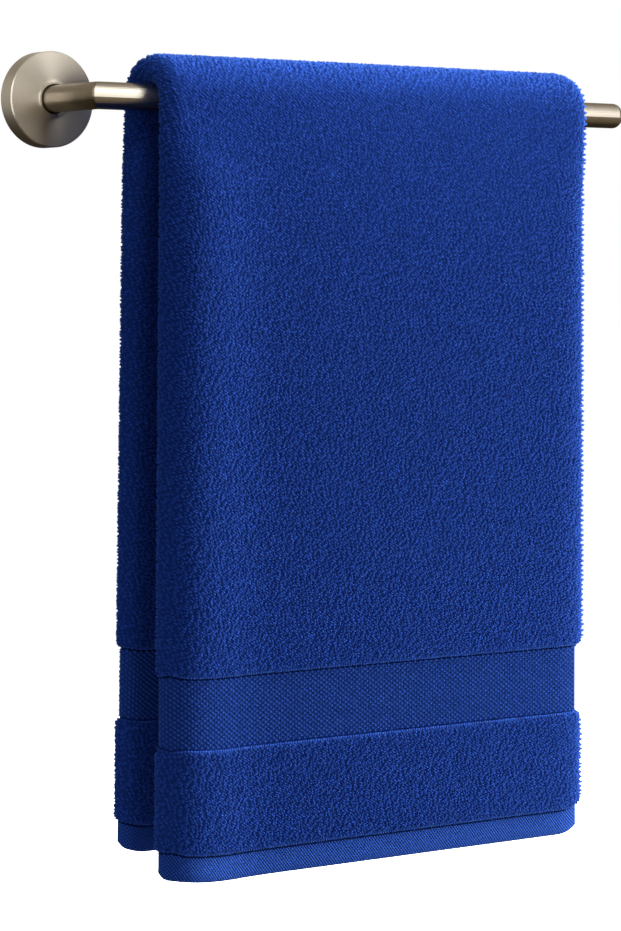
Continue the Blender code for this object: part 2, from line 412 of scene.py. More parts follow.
def left_edge(leg, reach):
    """Where the fold's outermost surface lies across the cloth."""
    if leg == "arch":
        return LEFT_EDGE - BACK_SHIFT * float(smooth(reach / math.pi))
    start = LEFT_EDGE - (BACK_SHIFT if leg == "back" else 0.0)
    return start - FLARE[leg] * reach / FRONT_DROP


def fold_section(leg, reach, pulled):
    """One cut across the folded cloth, from the outer selvedge round the fold to the inner one."""
    ease = 0.0 if leg == "arch" else float(smooth(reach / EASE_DROP))
    right = RIGHT_EDGE - pulled
    radius = mix(FOLD_RADIUS, ease)
    opening = mix(FOLD_OPENING, ease)
    centre_across = left_edge(leg, reach) + TERRY / 2 + radius
    centre_out = INNER_OUT + radius
    ridge_across = centre_across + (RIDGE_RADIUS - radius) * math.sin(opening)
    ridge_out = centre_out + radius * math.cos(opening) + RIDGE_RADIUS * (1 - math.cos(opening))
    flat_across = ridge_across + RIDGE_RUN

    flat = np.linspace(right, flat_across, 140, endpoint=False)
    share = np.linspace(0, 1, 40, endpoint=False)
    rise = (1 - np.cos(math.pi * share**RIDGE_TAIL)) / 2
    tilt = np.linspace(0, opening, 16, endpoint=False)
    turn = np.linspace(opening, math.pi, 40)
    across = [flat, flat_across - RIDGE_RUN * share, ridge_across - RIDGE_RADIUS * np.sin(tilt)]
    out = [OUTER_OUT - curl(ease, flat), OUTER_OUT + (ridge_out - OUTER_OUT) * rise]
    out += [ridge_out - RIDGE_RADIUS * (1 - np.cos(tilt)), centre_out + radius * np.cos(turn)]
    across.append(centre_across - radius * np.sin(turn))
    across = np.concatenate(across)
    out = np.concatenate(out)
    used = np.hypot(np.diff(across), np.diff(out)).sum()
    inner_edge = centre_across + CLOTH_WIDTH - 2 * pulled - used
    inner = np.linspace(centre_across, inner_edge, 140)[1:]
    return np.concatenate((across, inner)), np.concatenate((out, INNER_OUT - ease * curl(ease, inner)))


def corner_lift(corner, from_edge, from_end):
    """How far the cloth's end rises near one of its side edges."""
    near_edge = np.maximum(0.0, 1 - from_edge / corner.width)
    return corner.lift * near_edge**2 * max(0.0, 1 - from_end / corner.height)


def hang(leg, reach, from_end, pulled, across, out):
    """World positions of one row of the cloth."""
    if leg == "arch":
        return np.stack((across, -BAR_TO_WALL - out * math.cos(reach), out * math.sin(reach)), -1)
    side = -1 if leg == "front" else 1
    spread = out + PANEL_SPREAD * reach / FRONT_DROP
    lift = corner_lift(FOLD_CORNER[leg], across - left_edge(leg, reach), from_end)
    lift += corner_lift(SELVEDGE_CORNER, RIGHT_EDGE - pulled - across, from_end)
    sideways = across * math.cos(FOLD_FACING) - side * spread * math.sin(FOLD_FACING)
    lift += corner_lift(HEM_ROUND, sideways - sideways.min(), from_end)
    return np.stack((across, -BAR_TO_WALL + side * spread, lift - reach), -1)


def surface_table():
    """Middle of the cloth as a table: a row for each step along it, a column for each step across."""
    columns = round(CLOTH_WIDTH / TABLE_ACROSS) + 1
    rows = []
    for along in np.linspace(0, CLOTH_LENGTH, round(CLOTH_LENGTH / TABLE_ALONG) + 1):
        leg, reach = leg_at(along)
        from_end = min(along, CLOTH_LENGTH - along)
        pulled = draw_in(from_end)
        across, out = fold_section(leg, reach, pulled)
        length = np.concatenate(([0.0], np.cumsum(np.hypot(np.diff(across), np.diff(out)))))
        even = np.linspace(0, length[-1], columns)
        across, out = np.interp(even, length, across), np.interp(even, length, out)
        rows.append(hang(leg, reach, from_end, pulled, across, out))
    return np.array(rows)


def look_up(table, across, along):
    """Values of a table at places on the cloth."""
    x = np.clip(across / CLOTH_WIDTH, 0, 1) * (table.shape[1] - 1)
    y = np.clip(along / CLOTH_LENGTH, 0, 1) * (table.shape[0] - 1)
    left = np.minimum(x.astype(int), table.shape[1] - 2)
    low = np.minimum(y.astype(int), table.shape[0] - 2)
    fx, fy = (x - left)[..., None], (y - low)[..., None]
    bottom = table[low, left] * (1 - fx) + table[low, left + 1] * fx
    top = table[low + 1, left] * (1 - fx) + table[low + 1, left + 1] * fx
    return bottom * (1 - fy) + top * fy


def unit(vectors):
    """Vectors at length 1."""
    return vectors / np.maximum(np.linalg.norm(vectors, axis=-1, keepdims=True), 1e-12)


def shoulder(inset):
    """Share of the full pile at a distance in from a terry edge."""
    return np.interp(inset, SHOULDER_INSET, SHOULDER_SHARE)


def draw_back(across):
    """How far a terry edge draws back at a place across the cloth."""
    fold = np.maximum(0.0, 1 - np.abs(across - CLOTH_WIDTH / 2) / FOLD_DRAW_BACK.width)
    from_selvedge = np.minimum(across, CLOTH_WIDTH - across)
    selvedge = np.maximum(0.0, 1 - from_selvedge / SELVEDGE_DRAW_BACK.width)
    return FOLD_DRAW_BACK.depth * fold**2 + SELVEDGE_DRAW_BACK.depth * selvedge**2


def inside_terry(across, along):
    """How far places on the cloth lie inside its terry, negative on the flat weaves."""
    from_end = np.minimum(along, CLOTH_LENGTH - along)
    back = draw_back(across)
    band = np.minimum(from_end - HEM_LENGTH, BAND_END - from_end) - back
    return np.maximum(band, from_end - BORDER_END - back)


def half_thickness(across, along):
    """Half of the cloth's thickness at places on it."""
    from_end = np.minimum(along, CLOTH_LENGTH - along)
    inset = inside_terry(across, along)
    hem = HEM_THICKNESS * np.interp(from_end, (0.0, HEM_EDGE), (HEM_EDGE_SHARE, 1.0))
    flat = np.where(from_end < HEM_LENGTH + BAND_LENGTH / 2, hem, BORDER_THICKNESS)
    thickness = np.where(inset > 0, shoulder(inset) * TERRY, flat)
    from_selvedge = np.minimum(across, CLOTH_WIDTH - across)
    return np.minimum(thickness, TERRY * np.interp(from_selvedge, SELVEDGE_INSET, SELVEDGE_SHARE)) / 2


class Cloth:
    """The hung cloth: where a place on it lies in the world, and which way it faces."""

    def __init__(self):
        self.middle = surface_table()
        self.across = unit(np.gradient(self.middle, axis=1))
        self.along = unit(np.gradient(self.middle, axis=0))
        self.facing = unit(np.cross(self.along, self.across))

    def place(self, across, along, side, height):
        """World positions at a height over the cloth's middle, on its outer (1) or inner (-1) side."""
        out = unit(look_up(self.facing, across, along)) * np.asarray(side)[..., None]
        return look_up(self.middle, across, along) + out * height[..., None]

    def stand(self, across, along, side, ground):
        """Directions straight out of the ground weave, whose height over the middle a function gives."""

        def at(x, y):
            return self.place(x, y, side, ground(x, y))

        beside = at(across + SLOPE_STEP, along) - at(across - SLOPE_STEP, along)
        further = at(across, along + SLOPE_STEP) - at(across, along - SLOPE_STEP)
        return unit(np.cross(further, beside)) * np.asarray(side)[..., None]

    def lean(self, across, along, slope):
        """Directions in the cloth at a slope to its width."""
        mixed = look_up(self.across, across, along) * math.cos(slope)
        return unit(mixed + look_up(self.along, across, along) * math.sin(slope))


# Ground weave


def cloth_rows():
    """Distances along the cloth where the woven sheet has a row, close together at each step in it."""
    steps = [0.0, HEM_EDGE, 0.004, 0.009]
    steps += list(np.linspace(HEM_LENGTH - PAINTED_SHADE_OUTSIDE, HEM_LENGTH + CLOSE_ROWS, 10))
    steps += list(np.linspace(HEM_LENGTH + WIDE_ROWS, BAND_END - WIDE_ROWS, 7))
    steps += list(np.linspace(BAND_END - CLOSE_ROWS, BAND_END + PAINTED_SHADE_OUTSIDE, 10))
    steps += list(np.linspace(BAND_END + 0.005, BORDER_END - 0.005, 5))
    steps += list(np.linspace(BORDER_END - PAINTED_SHADE_OUTSIDE, BORDER_END + CLOSE_ROWS, 10))
    steps += list(np.linspace(BORDER_END + WIDE_ROWS, FRONT_DROP - ARCH_MARGIN, 48))
    arch = np.linspace(FRONT_DROP - ARCH_MARGIN, FRONT_DROP + ARCH_LENGTH + ARCH_MARGIN, 30)[1:]
    back = [CLOTH_LENGTH - step for step in reversed(steps)]
    return np.array(steps + list(arch) + [step for step in back if step > arch[-1] + 0.002])


def cloth_columns():
    """Distances across the cloth where the woven sheet has a column, close together round the fold."""
    middle = CLOTH_WIDTH / 2
    edge = [0.0, 0.0006, 0.0012, 0.0034, 0.0055, 0.0075]
    flat = list(np.linspace(0.012, middle - 0.060, 32))
    fold = list(np.linspace(middle - 0.058, middle + 0.034, 62))
    inner = list(np.linspace(middle + 0.040, CLOTH_WIDTH - 0.012, 30))
    return np.array(edge + flat + fold + inner + [CLOTH_WIDTH - inset for inset in reversed(edge)])


def woven_sheet(cloth, pile, finishes):
    """The cloth's own mesh: both sides and the four edges, with a map of its flat size in metres."""
    rows, columns = cloth_rows(), cloth_columns()
    across, along = np.meshgrid(columns, rows)
    half = half_thickness(across, along)
    sunk = np.maximum(half - pile * SHEET_SINK, LEAST_HALF)
    half = np.where(inside_terry(across, along) > 0, sunk, half)
    count = across.size
    width, height = len(columns), len(rows)
    points = [cloth.place(across, along, np.full(across.shape, side), half) for side in (1.0, -1.0)]
    index = np.arange(count).reshape(height, width)
    a, b, c, d = index[:-1, :-1], index[:-1, 1:], index[1:, 1:], index[1:, :-1]
    outer = np.stack((a, d, c, b), -1).reshape(-1, 4)
    inner = np.stack((a, b, c, d), -1).reshape(-1, 4) + count
    rim = np.concatenate((index[0, :-1], index[:-1, -1], index[-1, :0:-1], index[:0:-1, 0]))
    following = np.roll(rim, -1)
    edge = np.stack((rim, following, following + count, rim + count), -1)
    faces = np.concatenate((outer, inner, edge))
    mesh = bpy.data.meshes.new("woven_towel")
    mesh.from_pydata(np.concatenate(points).reshape(-1, 3).tolist(), [], faces.tolist())
    for finish in finishes:
        mesh.materials.append(finish)
    flat = np.stack((across, along), -1).reshape(-1, 2)
    flat = np.concatenate((flat, flat))
    uv = mesh.uv_layers.new(name="flat cloth")
    corners = np.zeros(len(mesh.loops), np.int32)
    mesh.loops.foreach_get("vertex_index", corners)
    uv.data.foreach_set("uv", flat[corners].astype(np.float32).ravel())
    centre = flat[faces].mean(axis=1)
    from_end = np.minimum(centre[:, 1], CLOTH_LENGTH - centre[:, 1])
    flat_weave = np.where(from_end < HEM_LENGTH + BAND_LENGTH / 2, 2, 1)
    inset = inside_terry(centre[:, 0], centre[:, 1])
    # The band's upper edge catches the light, so the painted shade leaves the ground there pale
    lit = np.abs(from_end - BAND_END) <= BORDER_LENGTH / 4
    # Painted shade: a dark strip of ground along the other terry edges, for the shadow under their pile
    dark = (inset > -PAINTED_SHADE_OUTSIDE) & (inset < PAINTED_SHADE_INSIDE) & ~lit
    zone = np.select([dark, inset > -PAINTED_SHADE_OUTSIDE / 2], [3, 0], flat_weave)
    mesh.polygons.foreach_set("material_index", zone.astype(np.int32))
    mesh.shade_smooth()
    mesh.update()
    return mesh


# What repeats on the cloth


def tuft_mesh(name, waist, crest):
    """A low rounded tuft: a ring of six points at its root and a crest of two, eight triangles."""
    root = [(0.5, 0.0), (waist, 0.5), (-waist, 0.5), (-0.5, 0.0), (-waist, -0.5), (waist, -0.5)]
    points = [(x, y, 0.0) for x, y in root] + [(crest, 0.0, 1.0), (-crest, 0.0, 1.0)]
    mesh = bpy.data.meshes.new(name)
    faces = [(0, 1, 6), (1, 7, 6), (1, 2, 7), (2, 3, 7), (3, 4, 7), (4, 6, 7), (4, 5, 6), (5, 0, 6)]
    mesh.from_pydata(points, [], faces)
    rise = mesh.attributes.new("rise", "FLOAT", "POINT")
    rise.data.foreach_set("value", [point[2] for point in points])
    mesh.shade_smooth()
    return add_object(name, mesh)


def tuft_tree():
    """Sets a tuft on every point, standing out of the cloth and leaning along it, each a little different."""
    if "Tufts on Cloth" in bpy.data.node_groups:
        return bpy.data.node_groups["Tufts on Cloth"]
    tree = bpy.data.node_groups.new("Tufts on Cloth", "GeometryNodeTree")
    sockets = {"Points": "Geometry", "Tuft": "Object", "Size": "Vector", "Lean Spread": "Float"}
    sockets.update({"Size Spread": "Float", "Seed": "Int", "Finish": "Material"})
    for name, kind in sockets.items():
        tree.interface.new_socket(name, in_out="INPUT", socket_type="NodeSocket" + kind)
    tree.interface.new_socket("Tufts", in_out="OUTPUT", socket_type="NodeSocketGeometry")
    given = add_node(tree, "NodeGroupInput").outputs
    stand, lean = (
        add_node(tree, "GeometryNodeInputNamedAttribute", {"Name": label}, data_type="FLOAT_VECTOR")
        for label in DIRECTIONS
    )
    axes = {"Primary Axis": stand.outputs[0], "Secondary Axis": lean.outputs[0]}
    facing = add_node(tree, "FunctionNodeAxesToRotation", links=axes, primary_axis="Z", secondary_axis="X")
    back = add_node(tree, "ShaderNodeMath", {1: -1.0}, {0: given["Lean Spread"]}, operation="MULTIPLY")
    ends = {2: back.outputs[0], 3: given["Lean Spread"], "Seed": given["Seed"]}
    angle = add_node(tree, "FunctionNodeRandomValue", links=ends, data_type="FLOAT")
    turn = add_node(tree, "FunctionNodeAxisAngleToRotation", {"Axis": (0, 0, 1)}, {"Angle": angle.outputs[1]})
    both = {"Rotation": facing.outputs[0], "Rotate By": turn.outputs[0]}
    turned = add_node(tree, "FunctionNodeRotateRotation", links=both, rotation_space="LOCAL")
    least, most = (
        add_node(tree, "ShaderNodeMath", {0: 1.0}, {1: given["Size Spread"]}, operation=way)
        for way in ("SUBTRACT", "ADD")
    )
    second, third = (
        add_node(tree, "ShaderNodeMath", {1: step}, {0: given["Seed"]}, operation="ADD")
        for step in (1.0, 2.0)
    )
    ends = {0: least.outputs[0], 1: most.outputs[0], "Seed": second.outputs[0]}
    vary = add_node(tree, "FunctionNodeRandomValue", links=ends, data_type="FLOAT_VECTOR")
    sizes = {0: given["Size"], 1: vary.outputs[0]}
    size = add_node(tree, "ShaderNodeVectorMath", links=sizes, operation="MULTIPLY")
    tuft = add_node(tree, "GeometryNodeObjectInfo", links={"Object": given["Tuft"]})
    parts = {"Points": given["Points"], "Instance": tuft.outputs["Geometry"]}
    parts.update({"Rotation": turned.outputs[0], "Scale": size.outputs[0]})
    tufts = add_node(tree, "GeometryNodeInstanceOnPoints", links=parts)
    ends = {2: 0.0, 3: 1.0}
    tone = add_node(tree, "FunctionNodeRandomValue", ends, {"Seed": third.outputs[0]}, data_type="FLOAT")
    parts = {"Geometry": tufts.outputs[0], "Value": tone.outputs[1]}
    marked = add_node(tree, "GeometryNodeStoreNamedAttribute", {"Name": "tone"}, parts, domain="INSTANCE")
    real = add_node(tree, "GeometryNodeRealizeInstances", links={"Geometry": marked.outputs[0]})
    parts = {"Geometry": real.outputs[0], "Material": given["Finish"]}
    done = add_node(tree, "GeometryNodeSetMaterial", links=parts)
    add_node(tree, "NodeGroupOutput", links={"Tufts": done.outputs[0]})
    return tree


def grow_tufts(name, cloth, tree, places, ground, values, slope):
    """One plain mesh of tufts at places on the cloth, given as across, along and side."""
    across, along, side = places
    carrier = bpy.data.meshes.new(name)
    points = cloth.place(across, along, side, ground(across, along))
    carrier.from_pydata(points.tolist(), [], [])
    directions = (cloth.stand(across, along, side, ground), cloth.lean(across, along, slope))
    for label, vectors in zip(DIRECTIONS, directions):
        data = carrier.attributes.new(label, "FLOAT_VECTOR", "POINT").data
        data.foreach_set("vector", vectors.astype(np.float32).ravel())
    holder = add_object(name, carrier)
    modifier = holder.modifiers.new("Tufts", "NODES")
    modifier.node_group = tree
    for item in tree.interface.items_tree:
        if item.in_out == "INPUT" and item.name in values:
            modifier[item.identifier] = values[item.name]
    depsgraph = bpy.context.evaluated_depsgraph_get()
    mesh = bpy.data.meshes.new_from_object(holder.evaluated_get(depsgraph), depsgraph=depsgraph)
    holder.modifiers.remove(modifier)
    bpy.data.objects.remove(holder, do_unlink=True)
    bpy.data.meshes.remove(carrier)
    mesh.name = name
    for label in DIRECTIONS:
        if label in mesh.attributes:
            mesh.attributes.remove(mesh.attributes[label])
    return add_piece(name, mesh)


def staggered(pitch, slope, jitter, rng):
    """Places on the flat cloth in staggered rows at a slope, each moved a little along and beside its row."""
    reach = math.hypot(CLOTH_WIDTH, CLOTH_LENGTH) / 2
    x, y = np.meshgrid(np.arange(-reach, reach, pitch[0]), np.arange(-reach, reach, pitch[1]))
    x = x + (np.arange(len(y)) % 2)[:, None] * pitch[0] / 2
    x = x + rng.uniform(-jitter[0], jitter[0], x.shape) * pitch[0]
    y = y + rng.uniform(-jitter[1], jitter[1], y.shape) * pitch[1]
    across = CLOTH_WIDTH / 2 + x * math.cos(slope) - y * math.sin(slope)
    along = CLOTH_LENGTH / 2 + x * math.sin(slope) + y * math.cos(slope)
    inside = (across > 0.0003) & (across < CLOTH_WIDTH - 0.0003)
    inside &= (along > 0.0003) & (along < CLOTH_LENGTH - 0.0003)
    return across[inside], along[inside]


def along_edges(pitch, inset):
    """Places in a row along each terry edge, a little inside it."""
    row = np.arange(pitch / 2, CLOTH_WIDTH, pitch)
    edges = []
    for start, way in ((HEM_LENGTH, 1), (BAND_END, -1), (BORDER_END, 1)):
        edge = start + way * (draw_back(row) + inset)
        edges += [edge, CLOTH_LENGTH - edge]
    return np.tile(row, len(edges)), np.concatenate(edges)


def along_selvedges(pitch, inset, rng):
    """Places in an uneven row along each selvedge where it is terry, on both sides of the cloth."""
    row = np.arange(pitch / 2, CLOTH_LENGTH, pitch)
    row += rng.normal(0, SELVEDGE_STRAY * pitch, len(row))
    row = row[inside_terry(np.full(len(row), inset), row) > 0]
    across = np.repeat([inset, CLOTH_WIDTH - inset, inset, CLOTH_WIDTH - inset], len(row))
    return across, np.tile(row, 4), np.repeat([1.0, 1.0, -1.0, -1.0], len(row))


def both_sides(across, along):
    """The places that can be seen, on the outer side and on the inner one, with their side."""
    outer, inner = shown(across, 1), shown(across, -1)
    side = np.concatenate((np.ones(outer.sum()), -np.ones(inner.sum())))
    return np.concatenate((across[outer], across[inner])), np.concatenate((along[outer], along[inner])), side


def shown(across, side):
    """Whether places on the cloth can be seen: its outer side, and a strip of what turns inwards."""
    from_selvedge = np.minimum(across, CLOTH_WIDTH - across)
    outer = (across < CLOTH_WIDTH / 2 + FOLD_REACH) | (from_selvedge < SELVEDGE_REACH)
    return outer if side > 0 else from_selvedge < HIDDEN_REACH


# Materials


def new_material(name, values):
    """A material with its node tree and its shader, whose own values are set."""
    material = bpy.data.materials.new(name)
    material.use_nodes = True
    shader = material.node_tree.nodes["Principled BSDF"]
    for label, value in values.items():
        shader.inputs[label].default_value = value
    return material, material.node_tree, shader


def cotton(name, roughness, sheen):
    """Cotton: no gloss of its own, but a soft sheen from its fuzz."""
    values = {"Roughness": roughness, "Specular IOR Level": 0.0, "Sheen Weight": sheen}
    values.update({"Sheen Roughness": 0.5, "Sheen Tint": SHEEN_TINT})
    return new_material(name, values)


def lead_in(tree, shader, colour, height=None, bump=None):
    """Leads a colour into a shader, and a height through a bump of a strength and a distance."""
    tree.links.new(colour, shader.inputs["Base Color"])
    if bump:
        relief = add_node(tree, "ShaderNodeBump", bump, {"Height": height})
        tree.links.new(relief.outputs[0], shader.inputs["Normal"])


def tuft_cotton(name, roughness, sheen, colours, shades):
    """Cotton whose tufts darken from top to root in painted shade, each at random a tone of its own."""
    material, tree, shader = cotton(name, roughness, sheen)
    rise = add_node(tree, "ShaderNodeAttribute", attribute_name="rise")
    tone = add_node(tree, "ShaderNodeAttribute", attribute_name="tone")
    # Painted shade: the colour darkens from each tuft's top down to its root
    depth = add_node(tree, "ShaderNodeMix", colours, {0: rise.outputs["Fac"]}, data_type="RGBA")
    ends = {"To Min": shades[0], "To Max": shades[1]}
    shade = add_node(tree, "ShaderNodeMapRange", ends, {"Value": tone.outputs["Fac"]})
    parts = {"Value": shade.outputs[0], "Color": depth.outputs[2]}
    lead_in(tree, shader, add_node(tree, "ShaderNodeHueSaturation", links=parts).outputs[0])
    return material


def loop_cotton(settings):
    """Combed cotton loops, dyed royal blue and matt, with painted shade darker down between them."""
    colours = {6: toned(settings.root_colour), 7: toned(settings.crown_colour)}
    return tuft_cotton("combed cotton terry loops", 0.9, 0.30, colours, (0.84, 1.18))


def float_cotton(settings):
    """Raised border floats, smoother than the terry: painted shade at the root, painted light on top."""
    colours = {6: toned(settings.border_colour, 0.4), 7: toned(settings.border_colour, 1.2)}
    return tuft_cotton("cotton border floats", 0.65, 0.2, colours, (0.9, 1.1))


def ground_cotton(name, settings, depth):
    """Plain cotton ground that the loops stand on, in painted shade that darkens with the depth given."""
    material, tree, shader = cotton(name, 0.95, 0.1)
    place = add_node(tree, "ShaderNodeUVMap", uv_map="flat cloth")
    fine = {"Scale": 900.0, "Detail": 2.0}
    grain = add_node(tree, "ShaderNodeTexNoise", fine, {"Vector": place.outputs[0]})
    colours = {6: toned(settings.root_colour, 0.7 / depth), 7: toned(settings.root_colour, 1.0 / depth)}
    mixed = add_node(tree, "ShaderNodeMix", colours, {0: grain.outputs["Fac"]}, data_type="RGBA")
    lead_in(tree, shader, mixed.outputs[2], grain.outputs["Fac"], {"Strength": 0.8, "Distance": 0.0006})
    return material


def border_cotton(settings):
    """Flat woven border between its raised floats: tight weft threads, in shade among them."""
    material, tree, shader = cotton("woven cotton border", 0.7, 0.15)
    place = add_node(tree, "ShaderNodeUVMap", uv_map="flat cloth")
    line = {"Scale": WAVE_PERIOD / WEFT_PITCH}
    weft = add_node(tree, "ShaderNodeTexWave", line, {"Vector": place.outputs[0]}, bands_direction="Y")
    colours = {6: toned(settings.border_colour, 0.34), 7: toned(settings.border_colour, 0.60)}
    mixed = add_node(tree, "ShaderNodeMix", colours, {0: weft.outputs["Fac"]}, data_type="RGBA")
    lead_in(tree, shader, mixed.outputs[2], weft.outputs["Fac"], {"Strength": 0.5, "Distance": 0.0002})
    return material


def hem_cotton(settings):
    """Twill hem, folded and stitched: fine slanting lines with dark gaps."""
    material, tree, shader = cotton("cotton twill hem", 0.8, 0.2)
    place = add_node(tree, "ShaderNodeUVMap", uv_map="flat cloth")
    slant = {"Rotation": (0.0, 0.0, math.radians(40))}
    turned = add_node(tree, "ShaderNodeMapping", slant, {"Vector": place.outputs[0]})
    line = {"Scale": WAVE_PERIOD / settings.twill_pitch, "Distortion": 0.4, "Detail Scale": 3.0}
    up = add_node(tree, "ShaderNodeTexWave", line, {"Vector": turned.outputs[0]})
    down = add_node(tree, "ShaderNodeTexWave", line, {"Vector": turned.outputs[0]}, bands_direction="Y")
    parts = {0: down.outputs["Fac"], 2: up.outputs["Fac"]}
    twill = add_node(tree, "ShaderNodeMath", {1: 0.45}, parts, operation="MULTIPLY_ADD")
    colours = {6: toned(settings.border_colour, 0.02), 7: toned(settings.border_colour, 0.96)}
    mixed = add_node(tree, "ShaderNodeMix", colours, {0: twill.outputs[0]}, data_type="RGBA")
    lead_in(tree, shader, mixed.outputs[2], twill.outputs[0], {"Strength": 0.7, "Distance": 0.0003})
    return material


def satin_nickel(name, colour, roughness, grain_scale, axis):
    """Satin nickel plate, brushed round an axis. Its scratches are drawn wide enough to show."""
    values = {"Metallic": 1.0, "Anisotropic": 0.8, "Anisotropic Rotation": 0.25}
    material, tree, shader = new_material(name, values)
    place = add_node(tree, "ShaderNodeTexCoord")
    drawn = add_node(tree, "ShaderNodeMapping", {"Scale": grain_scale}, {"Vector": place.outputs["Object"]})
    grain = add_node(tree, "ShaderNodeTexNoise", {"Scale": 1.0, "Detail": 3.0}, {"Vector": drawn.outputs[0]})
    rough = {"To Min": roughness - 0.03, "To Max": roughness + 0.03}
    worn = add_node(tree, "ShaderNodeMapRange", rough, {"Value": grain.outputs["Fac"]})
    tree.links.new(worn.outputs[0], shader.inputs["Roughness"])
    tones = {6: toned(colour, 0.96), 7: toned(colour, 1.04)}
    mixed = add_node(tree, "ShaderNodeMix", tones, {0: grain.outputs["Fac"]}, data_type="RGBA")
    lead_in(tree, shader, mixed.outputs[2])
    tangent = add_node(tree, "ShaderNodeTangent", direction_type="RADIAL", axis=axis)
    tree.links.new(tangent.outputs[0], shader.inputs["Tangent"])
    return material


# Flange


def rounded(corner, radius, start, end):
    """Points of an arc inside a corner, from one angle to another in degrees."""
    turns = np.radians(np.linspace(start, end, 6))
    return [(corner[0] + radius * math.cos(turn), corner[1] + radius * math.sin(turn)) for turn in turns]


def flange_profile():
    """Half of the flange's cut, as radius and depth, from the middle of its back to its socket's floor."""
    start, end = FLANGE_RADIUS - RIM_CHAMFER, LIP_RADIUS + 0.0004
    profile = [(0.0, 0.0), (FLANGE_RADIUS, 0.0), (FLANGE_RADIUS, FACE_AT_RIM - RIM_CHAMFER)]
    profile.append((start, FACE_AT_RIM))
    for share in np.linspace(0, 1, 12)[1:]:
        crown = FACE_AT_RIM + (FACE_AT_LIP - FACE_AT_RIM) * (1 - (1 - share) ** 1.5)
        profile.append((start + (end - start) * share, crown))
    lip = (LIP_TOP - FACE_AT_LIP) / 2
    profile += [(LIP_RADIUS, FACE_AT_LIP + 0.0002)]
    profile += rounded((LIP_RADIUS - lip, LIP_TOP - lip), lip, 10, 90)
    profile += rounded((SOCKET_RADIUS + lip, LIP_TOP - lip), lip, 95, 180)
    return profile + [(SOCKET_RADIUS, SOCKET_FLOOR), (0.0, SOCKET_FLOOR)]


def turned_mesh(name, profile, sides):
    """A profile of radius and depth turned round the line out of the wall."""
    bm = bmesh.new()
    rings = []
    for radius, depth in profile:
        if radius == 0.0:
            rings.append([bm.verts.new((0.0, -depth, 0.0))] * sides)
            continue
        turns = [2 * math.pi * i / sides for i in range(sides)]
        rings.append([bm.verts.new((radius * math.cos(t), -depth, radius * math.sin(t))) for t in turns])
    for low, high in zip(rings, rings[1:]):
        for i in range(sides):
            corners = (low[i], low[(i + 1) % sides], high[(i + 1) % sides], high[i])
            bm.faces.new(tuple(dict.fromkeys(corners)))
    bmesh.ops.recalc_face_normals(bm, faces=bm.faces)
    mesh = bpy.data.meshes.new(name)
    bm.to_mesh(mesh)
    bm.free()
    mesh.shade_smooth()
    mesh.set_sharp_from_angle(angle=math.radians(35))
    return mesh


# Operators


def cloth_now():
    """The hung cloth, worked out once."""
    if not hasattr(cloth_now, "cloth"):
        cloth_now.cloth = Cloth()
    return cloth_now.cloth


def require(name):
    """Stops a step whose object isn't there yet."""
    if name not in bpy.data.objects:
        raise RuntimeError(name + " has to be in the scene first")


class TOWEL_OT_weave(bpy.types.Operator):
    """Weave the towel's sheet, with its hems and flat borders"""

    bl_idname = "towel.weave"
    bl_label = "Weave Towel"

    def execute(self, context):
        require("towel")
        settings = context.scene.towel_settings
        ground = ground_cotton("plain cotton ground weave", settings, 1.0)
        # The ground under a terry edge is in deeper painted shade, the shadow of the edge's pile
        edge = ground_cotton("ground weave under a terry edge", settings, 3.4)
        finishes = [ground, border_cotton(settings), hem_cotton(settings), edge]
        mesh = woven_sheet(cloth_now(), settings.pile, finishes)
        piece = add_piece("woven_towel", mesh)
        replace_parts(piece, "towel")
        return {"FINISHED"}


class TOWEL_OT_raise_loops(bpy.types.Operator):
    """Raise the terry loops on the towel, panel by panel"""

    bl_idname = "towel.raise_loops"
    bl_label = "Raise Loops"

    def execute(self, context):
        require("woven_towel")
        settings = context.scene.towel_settings
        cloth = cloth_now()
        rng = np.random.default_rng(settings.seed)
        tuft = tuft_mesh("loop", 0.24, 0.2)
        tree = tuft_tree()
        size = (settings.loop_length, settings.loop_width, settings.pile)
        values = {"Tuft": tuft, "Size": size, "Lean Spread": settings.lean_spread, "Size Spread": LOOP_SPREAD}
        values.update({"Seed": settings.seed, "Finish": loop_cotton(settings)})
        across, along = staggered(settings.loop_pitch, settings.lean, LOOP_STRAY, rng)
        arch = Zone(FRONT_DROP - BAR_PART, FRONT_DROP + ARCH_LENGTH + BAR_PART)
        panels = {
            "loops_front_low": Zone(0.0, LOW_PART),
            "loops_front_high": Zone(LOW_PART, arch.start),
            "loops_over_bar": arch,
            "loops_back_high": Zone(arch.end, CLOTH_LENGTH - LOW_PART),
            "loops_back_low": Zone(CLOTH_LENGTH - LOW_PART, CLOTH_LENGTH),
        }

        def root(x, y):
            return np.maximum(half_thickness(x, y) - settings.pile, 0.0002)

        for name, zone in panels.items():
            inside = (along >= zone.start) & (along < zone.end) & (inside_terry(across, along) > LOOP_INSET)
            places = both_sides(across[inside], along[inside])
            grow_tufts(name, cloth, tree, places, root, values, settings.lean)
        sizes = (settings.edge_pitch, settings.loop_width, settings.pile)
        values["Size"] = tuple(size * share for size, share in zip(sizes, EDGE_LOOP))
        edge = both_sides(*along_edges(settings.edge_pitch, EDGE_INSET))
        grow_tufts("loops_at_edges", cloth, tree, edge, root, values, 0.0)
        values["Size"] = tuple(size * share for size, share in zip(sizes, SELVEDGE_LOOP))
        side = along_selvedges(settings.edge_pitch * SELVEDGE_PITCH, SELVEDGE_ROW_INSET, rng)
        grow_tufts("loops_at_selvedges", cloth, tree, side, root, values, math.radians(90))
        bpy.data.objects.remove(tuft, do_unlink=True)
        return {"FINISHED"}


